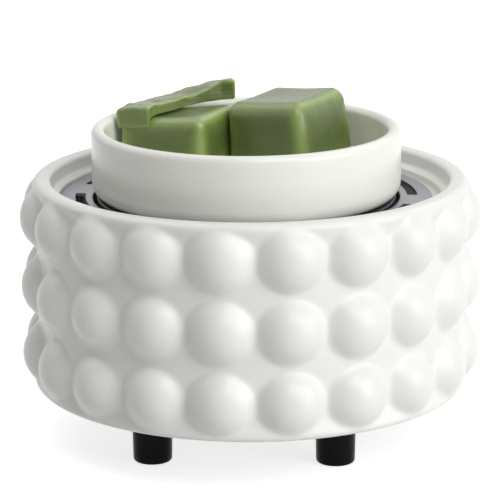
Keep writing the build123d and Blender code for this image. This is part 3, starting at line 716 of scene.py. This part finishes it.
# %% Left block
left_slope = math.tan(math.radians(6.0))
left_x, left_y = -24.4 * mm, 13.9 * mm
left_turn = -28.0
left_height = 19.1 * mm
left_round = 3.2 * mm
left_draft = 1.6
left_front = -10.2 * mm
left_shift = 0.5 * mm
left_half = np.array([15.9 * mm, 11.4 * mm, left_height / 2])
left_slant = 0.16
points, faces, edge = poured(left_half, left_round, left_draft, seed=11)
deeper = 1 + left_slant * points[:, 0] / left_half[0]
points[:, 1] = left_front + (points[:, 1] + left_half[1]) * deeper
points[:, 0] -= left_shift
points = points @ turn_matrix(left_turn).T
points[:, 2] += left_height / 2
points[:, 2] *= 1 + points[:, 0] * left_slope / left_height
points += np.array([left_x, left_y, dish_floor + wax_gap])
left_block = make_piece("wax_block_left", points, faces, "left_wax", "green_wax", sharp=60, edge=edge)
stand_in(left_block, wax_smooth, "wax_cube_left")

# %% [markdown]
# ## The broken piece
# A wedge snapped off another block lies on the left one, thin at its left end and thick at the
# right. Its long sides bend, so it is a round edged box laid along two rails: the box's length goes
# along them, its width from the front rail to the back one, and its height from the left block's top
# up to the broken face. Each rail is a few places with the wedge's height there.

# %% Broken piece
front_rail = np.array([
    (-43.8, 12.6, 3.4), (-38.2, 9.3, 4.2), (-32.9, 6.5, 4.2), (-30.8, 11.6, 3.9), (-24.9, 16.8, 3.7),
    (-19.9, 22.6, 3.4), (-14.3, 25.2, 4.6), (-9.3, 26.2, 6.9), (-4.7, 25.1, 6.6),
]) * mm
back_rail = np.array([
    (-43.0, 15.2, 3.5), (-40.2, 19.6, 3.5), (-37.4, 23.4, 3.5), (-32.6, 26.6, 3.5), (-27.0, 29.4, 3.8),
    (-21.4, 32.2, 4.7), (-15.6, 34.4, 5.5), (-10.4, 34.6, 5.8), (-5.6, 33.0, 6.4),
]) * mm
wedge_half = np.array([20, 6, 2.8]) * mm
wedge_round = 0.9 * mm
wedge_steps = 90
# How far in from an edge the painted glow on the wedge reaches.
wedge_painted_glow_reach = 1.4 * mm
wedge_crumble = [(0.28 * mm, 6.5 * mm, 21), (0.14 * mm, 2.6 * mm, 22)]
wedge_wear = 0.2 * mm
wedge_chips = [(0.22 * mm, 5.0 * mm, 23), (0.06 * mm, 1.8 * mm, 25)]
wedge_side_wear = 0.12 * mm
chip_power = 5


def along_rail(rail, share):
    """The rail's place and height at a share of its number of steps, straight between its places."""
    at = share * (len(rail) - 1)
    return np.stack([np.interp(at, np.arange(len(rail)), column) for column in rail.T], -1)


def broken_piece(half, corner, steps):
    """The wedge: a round edged box carried along the two rails, over the left block.

    A box point at shares u, v and w of the box's length, width and height goes to the front rail's
    place plus v times the way to the back rail's, both at u, and to w times the height there above
    the left block's top. That top slopes, and it drops along its front edge by
    r - sqrt(r^2 - (r - d)^2) at a distance d, under the edge's radius r, behind the front face, so
    the wedge's lip comes down over the edge. The broken face crumbles by w times its dents, and the
    sides are chipped by theirs times the odd power chip_power of 2 v - 1.
    """
    points, faces = cube_shell(half, corner, steps)
    edge = edge_nearness(points, half, wedge_painted_glow_reach)
    u, v, w = ((points / half + 1) / 2).T
    front, back = along_rail(front_rail, u), along_rail(back_rail, u)
    x, y, height = (front + v[:, None] * (back - front)).T
    from_block = np.stack([x - left_x, y - left_y, np.zeros_like(x)], -1) @ turn_matrix(left_turn)
    behind = from_block[:, 1] - left_front
    short = np.clip(left_round - behind, 0, left_round)
    drop = left_round - np.sqrt(left_round ** 2 - short ** 2)
    low = dish_floor + 2 * wax_gap + left_height + (x - left_x) * left_slope - drop
    flat = np.stack([x, y, np.zeros_like(x)], -1)
    z = low + w * (height + drop + dents(flat, wedge_crumble) - wedge_wear)
    solid = np.stack([x, y, z], -1)
    chips = dents(solid, wedge_chips) - wedge_side_wear
    across = (back - front)[:, :2] / np.linalg.norm((back - front)[:, :2], axis=1)[:, None]
    solid[:, :2] += across * (chips * (2 * v - 1) ** chip_power)[:, None]
    return solid, faces, edge


points, faces, edge = broken_piece(wedge_half, wedge_round, wedge_steps)
slab = make_piece("wax_broken_piece", points, faces, "slab_wax", "green_wax", sharp=60, edge=edge)
stand_in(slab, wax_broken, "wax_slab_top")

# %% [markdown]
# ## Feet
# The feet are moulded in glossy black, round, a little narrower at the floor, with a worn lower
# edge and a recess for the screw. One turned profile serves all four.

# %% Gloss black finish
def gloss_black(name):
    """Moulded glossy black with fine scuffs and a faint orange peel."""
    finish = Finish(name)
    scuffs = finish.noise(0.7 * mm, detail=4.0, roughness=0.7)
    peel = finish.noise(3.0 * mm, detail=1.0)
    return finish.shade(
        Base_Color=finish.blend(scuffs, (0.002, 0.002, 0.003), (0.006, 0.006, 0.008)),
        Roughness=0.14 + 0.14 * scuffs,
        IOR=1.5,
        Specular_IOR_Level=0.08,
        Normal=finish.bump(peel + scuffs * 0.1, depth=0.12 * mm, strength=0.6),
    )


foot_black = gloss_black("foot_black")

# %% Feet shape
foot_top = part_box("foot_front_left")[1].z
foot_low_radius = 6.25 * mm
foot_high_radius = 6.6 * mm
foot_worn_round = 0.9 * mm
foot_crisp_round = 0.3 * mm
foot_bore_radius = 2.1 * mm
foot_bore_round = 0.2 * mm
foot_recess_radius = 3.6 * mm
foot_recess_top = 12.0 * mm
foot_sides = 96
foot_profile = subdivided(
    rounded(
        [(foot_recess_radius, foot_recess_top / 2), (foot_recess_radius, 0), (foot_low_radius, 0),
         (foot_high_radius, foot_top), (foot_bore_radius, foot_top), (foot_bore_radius, foot_recess_top),
         (foot_recess_radius, foot_recess_top), (foot_recess_radius, foot_recess_top / 2)],
        [foot_crisp_round, foot_worn_round, foot_crisp_round, foot_bore_round, foot_bore_round,
         foot_bore_round],
    ),
    turned_step,
)
for corner in ("front_left", "front_right", "rear_left", "rear_right"):
    low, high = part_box("foot_" + corner)
    centre = ((low.x + high.x) / 2, (low.y + high.y) / 2)
    points, faces = turned(foot_profile, centre, foot_sides)
    foot = make_piece("foot_moulded_" + corner, points, faces, "warmer", "black_feet")
    stand_in(foot, foot_black, "foot_" + corner)

# %% [markdown]
# ## Metal finishes
# The plate has a satin grey coat, the hot plate a black one, and the hidden brackets are zinc
# plated. Their shapes come from the frame as they are, and only their surfaces are made here.

# %% Metal and coated finishes
def metal(name, dark, light, rough, metallic, grain_size, grain_depth):
    """A metal or coated metal with a fine grain in its colour, gloss and surface."""
    finish = Finish(name)
    grain = finish.noise(grain_size, detail=4.0, roughness=0.65)
    drift = finish.noise(14 * mm, detail=2.0)
    return finish.shade(
        Base_Color=finish.blend((0.6 * grain + 0.8 * drift - 0.2).capped(), dark, light),
        Roughness=(rough + 0.12 * grain + 0.08 * drift).capped(),
        Metallic=metallic,
        Normal=finish.bump(grain, grain_depth, strength=0.5),
    )


plate_coat = metal("plate_coat", (0.28, 0.29, 0.315), (0.35, 0.36, 0.385), 0.26, 0.85, 0.5 * mm, 0.02 * mm)
hot_coat = metal("hot_coat", (0.012, 0.012, 0.014), (0.030, 0.030, 0.034), 0.34, 0.0, 0.4 * mm, 0.03 * mm)
zinc = metal("zinc_plate", (0.50, 0.51, 0.53), (0.66, 0.67, 0.68), 0.30, 1.0, 0.8 * mm, 0.02 * mm)
screw_zinc = metal("screw_zinc", (0.44, 0.45, 0.47), (0.60, 0.61, 0.62), 0.34, 1.0, 0.3 * mm, 0.02 * mm)
bright_sheet = metal(
    "bright_sheet", (0.72, 0.73, 0.74), (0.84, 0.85, 0.86), 0.20, 1.0, 1.2 * mm, 0.02 * mm
)
alloy = metal("ribbon_alloy", (0.30, 0.27, 0.24), (0.46, 0.42, 0.37), 0.40, 1.0, 0.5 * mm, 0.01 * mm)
fuse_metal = metal("fuse_metal", (0.55, 0.56, 0.57), (0.70, 0.71, 0.72), 0.30, 1.0, 0.4 * mm, 0.01 * mm)
screw_brass = metal("screw_brass", (0.55, 0.38, 0.13), (0.72, 0.53, 0.22), 0.30, 1.0, 0.3 * mm, 0.01 * mm)
coat_node(plate_coat, "top_plate", "plate_collar")
coat_node(hot_coat, "hot_plate")
coat_node(zinc, "heater_carrier", "upper_posts", "lower_posts", "plate_studs", "fuse_clip")
coat_node(screw_zinc, "base_screws", "foot_screws", "block_screw", "fuse_screws")
coat_node(screw_zinc, "heater_washer", "heater_nut")
coat_node(bright_sheet, "heat_shield")
coat_node(alloy, "heating_ribbon")
coat_node(fuse_metal, "thermal_fuse")
coat_node(screw_brass, "terminal_screws")

# %% [markdown]
# ## Moulded, soft and mineral finishes
# The base pan is matte black plastic with a fine spark texture. Rubber, fibre, mica and porcelain
# hide inside, and each still gets the grain that it has on the bench.

# %% Dull finishes
def dull(name, dark, light, rough, grain_size, grain_depth):
    """A matte surface with a fine grain, such as moulded plastic, rubber, fibre or bare clay."""
    finish = Finish(name)
    grain = finish.noise(grain_size, detail=5.0, roughness=0.6)
    speck = finish.cells(grain_size * 2.5)
    return finish.shade(
        Base_Color=finish.blend((grain * 1.5 - 0.25).capped(), dark, light),
        Roughness=(rough + 0.2 * grain).capped(),
        IOR=1.45,
        Normal=finish.bump(grain + 0.5 * speck, grain_depth, strength=0.6),
    )


pan_black = dull("pan_black", (0.012, 0.012, 0.013), (0.028, 0.028, 0.030), 0.50, 0.35 * mm, 0.06 * mm)
grey_rubber = dull("grey_rubber", (0.12, 0.12, 0.13), (0.18, 0.18, 0.19), 0.60, 0.6 * mm, 0.03 * mm)
black_rubber = dull(
    "black_rubber", (0.012, 0.012, 0.012), (0.030, 0.030, 0.030), 0.62, 0.5 * mm, 0.03 * mm
)
fibre = dull("fibre", (0.62, 0.60, 0.54), (0.82, 0.80, 0.74), 0.80, 0.7 * mm, 0.20 * mm)
mica = dull("mica", (0.42, 0.34, 0.22), (0.62, 0.54, 0.38), 0.28, 3.0 * mm, 0.02 * mm)
porcelain = dull("porcelain", (0.70, 0.68, 0.62), (0.80, 0.78, 0.73), 0.45, 0.4 * mm, 0.03 * mm)
coat_node(pan_black, "base_pan")
coat_node(grey_rubber, "shell_cushion")
coat_node(black_rubber, "cord_grommet")
coat_node(fibre, "insulation_pad", "plate_gasket")
coat_node(mica, "mica_upper", "mica_lower")
coat_node(porcelain, "terminal_block")

# %% [markdown]
# ## Wire coverings
# The heater's wires have woven glass sleeves, red on the live one and white on the others and on the
# fuse. A weave modelled thread by thread would be lost at this size, so two crossed bands of sines
# make it in colour and in bump.

# %% Woven coverings
cover_pitch = 0.8 * mm


def covering(name, dark, light, pitch):
    """A wire's covering with a fine weave: the product of the sines of y + z and of x + y."""
    finish = Finish(name)
    steep = finish.along("Y") + finish.along("Z")
    level = finish.along("X") + finish.along("Y")
    wave = 2 * math.pi / pitch
    weave = (steep * wave).maths("SINE") * (level * wave).maths("SINE")
    return finish.shade(
        Base_Color=finish.blend((0.5 + 0.5 * weave).capped(), dark, light),
        Roughness=0.45 + 0.1 * finish.noise(0.5 * mm),
        Normal=finish.bump(weave, depth=0.05 * mm, strength=0.6),
    )


red_cover = covering("red_cover", (0.30, 0.02, 0.015), (0.42, 0.04, 0.03), cover_pitch)
white_cover = covering("white_cover", (0.60, 0.60, 0.57), (0.74, 0.74, 0.71), cover_pitch)
coat_node(red_cover, "heater_lead_live")
coat_node(white_cover, "heater_lead_neutral", "fuse_lead", "fuse_sleeve")

# %% [markdown]
# ## Floor and light
# The photograph is a product shot on white. The floor is pale and matt, and it glows only for what
# the camera and reflections see, so that the background is white and the shadow stays. Five large
# soft lights stand round the object, the two strongest at the front right, and the world adds a
# little from everywhere.

# %% Floor
floor_half = 4.0
floor_grey = 0.75
floor_glow = 0.80
corner_signs = ((-1, -1), (1, -1), (1, 1), (-1, 1))
floor_mesh = bpy.data.meshes.new("floor")
floor_mesh.from_pydata([(x * floor_half, y * floor_half, 0) for x, y in corner_signs], [], [(0, 1, 2, 3)])
floor = bpy.data.objects.new("floor", floor_mesh)
bpy.context.scene.collection.objects.link(floor)
floor_finish = Finish("floor_white")
floor_material = floor_finish.shade(
    Base_Color=(floor_grey,) * 3,
    Roughness=1.0,
    Specular_IOR_Level=0.0,
    Emission_Color=floor_finish.blend(floor_finish.seen_directly(), (0, 0, 0), (floor_glow,) * 3),
    Emission_Strength=1.0,
)
floor_mesh.materials.append(floor_material)
print("floor", 2 * floor_half, "m across")

# %% World
ambient = 0.03
world = bpy.data.worlds.new("studio")
bpy.context.scene.world = world
sky = Graph(world)
backdrop = sky.blend(sky.seen_directly(), (ambient,) * 3, (1, 1, 1))
feed(sky.tree, sky.tree.nodes["Background"].inputs["Color"], backdrop)

# %% Lights
lamp_distance = 2.4
aim_height = 60 * mm


def soft_light(name, azimuth, elevation, size, level):
    """A square soft light that faces the object and gives it the level, in units of a white surface.

    A square light of power p at distance d, seen square on, lights a surface by about
    p / (pi d^2), and a white surface looks as bright as white when that is pi.
    """
    lamp = bpy.data.lights.new(name, "AREA")
    lamp.shape = "SQUARE"
    lamp.size = size
    lamp.energy = level * math.pi ** 2 * lamp_distance ** 2
    stand = bpy.data.objects.new(name, lamp)
    bpy.context.scene.collection.objects.link(stand)
    a, e = math.radians(azimuth), math.radians(elevation)
    towards = Vector((math.sin(a) * math.cos(e), -math.cos(a) * math.cos(e), math.sin(e)))
    stand.location = Vector((0, 0, aim_height)) + towards * lamp_distance
    stand.rotation_mode = "QUATERNION"
    stand.rotation_quaternion = towards.to_track_quat("Z", "Y")
    print(name, round(lamp.energy, 1), "W")


soft_light("front_low", azimuth=60, elevation=15, size=1.6, level=0.52)
soft_light("front_high", azimuth=30, elevation=45, size=1.6, level=0.45)
soft_light("back_right", azimuth=135, elevation=45, size=1.6, level=0.14)
soft_light("back_left", azimuth=-120, elevation=50, size=2.4, level=0.26)
soft_light("overhead", azimuth=-90, elevation=80, size=2.4, level=0.18)
bpy.context.scene.view_settings.view_transform = "Standard"

# %% [markdown]
# ## The camera
# The photograph was taken from a little above, with a long lens. The camera stands where the rims,
# the domes and the feet of the photograph fall in line with the model, and turns a hair about its
# own view.

# %% Camera
camera_place = Vector((-0.09, -743.8, 253.75)) * mm
camera_tilt = math.radians(14.449)
camera_roll = math.radians(-0.185)
photo_width = 500
focal_pixels = 2349.6
lens = bpy.data.cameras.new("photo_camera")
lens.sensor_width = 36.0
lens.lens = focal_pixels / photo_width * lens.sensor_width
lens.clip_start, lens.clip_end = 0.05, 20.0
camera = bpy.data.objects.new("photo_camera", lens)
bpy.context.scene.collection.objects.link(camera)
upright = Matrix.Rotation(math.pi / 2 - camera_tilt, 4, "X")
camera.matrix_world = Matrix.Translation(camera_place) @ upright @ Matrix.Rotation(camera_roll, 4, "Z")
bpy.context.scene.camera = camera
print("lens", round(lens.lens, 1), "mm, camera", round(camera_place.length, 3), "m away")
